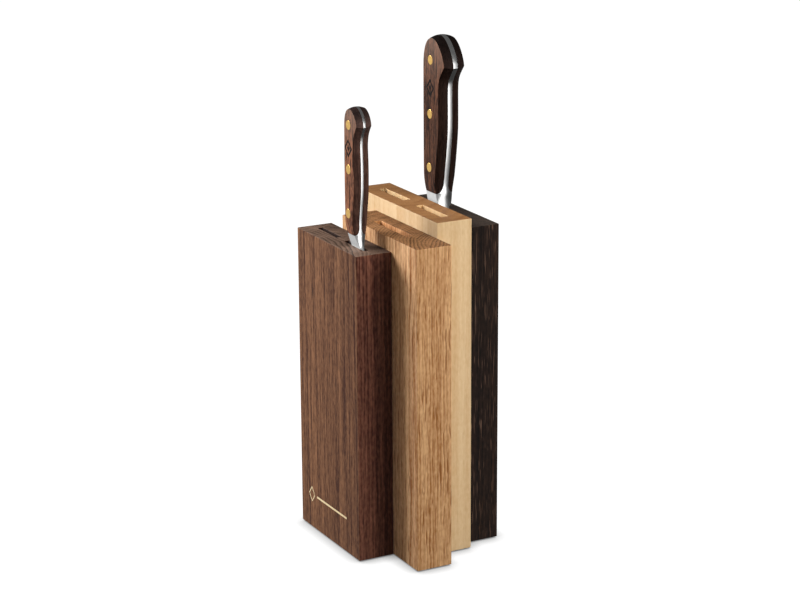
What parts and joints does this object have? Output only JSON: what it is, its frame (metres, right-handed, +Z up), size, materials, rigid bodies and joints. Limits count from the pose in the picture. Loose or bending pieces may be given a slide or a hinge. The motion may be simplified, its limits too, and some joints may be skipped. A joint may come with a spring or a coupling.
{
  "type": "knife block",
  "caption": "Countertop knife block of upright wooden blocks in different woods, set side by side and offset, with top slots and riveted-handle knives standing in it.",
  "frame": {"origin": "on the table, under the middle of the footprint's bounding box", "axes": "+Z up; +X across the four blocks from the walnut one to the near-black one; -Y is the front, which the narrow block ends face"},
  "size_m": [0.112, 0.1456, 0.3714],
  "materials": {
    "walnut": "oiled dark brown walnut with fine straight grain",
    "oak": "oiled oak with short dark pores",
    "maple": "pale maple, fine even grain",
    "wenge": "near-black wood with fine brown streaks",
    "handle_wood": "smoked oak, satin",
    "steel": "satin polished blade steel",
    "brass": "satin brass rivet heads",
    "rubber": "matte black non-slip pads"
  },
  "bodies": {
    "block": {"walnut_left_board": "walnut", "walnut_right_board": "walnut", "oak_left_board": "oak", "oak_right_board": "oak", "maple_left_board": "maple", "maple_right_board": "maple", "wenge_left_board": "wenge", "wenge_right_board": "wenge", "walnut_front_foot": "rubber", "walnut_back_foot": "rubber", "oak_front_foot": "rubber", "oak_back_foot": "rubber", "maple_front_foot": "rubber", "maple_back_foot": "rubber", "wenge_front_foot": "rubber", "wenge_back_foot": "rubber"},
    "chef_knife": {"chef_blade": "steel", "chef_left_scale": "handle_wood", "chef_right_scale": "handle_wood", "chef_rivet_1": "brass", "chef_rivet_2": "brass", "chef_rivet_3": "brass"},
    "paring_knife": {"paring_blade": "steel", "paring_left_scale": "handle_wood", "paring_right_scale": "handle_wood", "paring_rivet_1": "brass", "paring_rivet_2": "brass", "paring_rivet_3": "brass"}
  },
  "joints": [
    {"name": "chef_knife_lift", "type": "slide", "parent": "block", "child": "chef_knife", "axis": [0, 0, 1], "range_m": [0, 0.215]},
    {"name": "paring_knife_lift", "type": "slide", "parent": "block", "child": "paring_knife", "axis": [0, 0, 1], "range_m": [0, 0.11]}
  ]
}
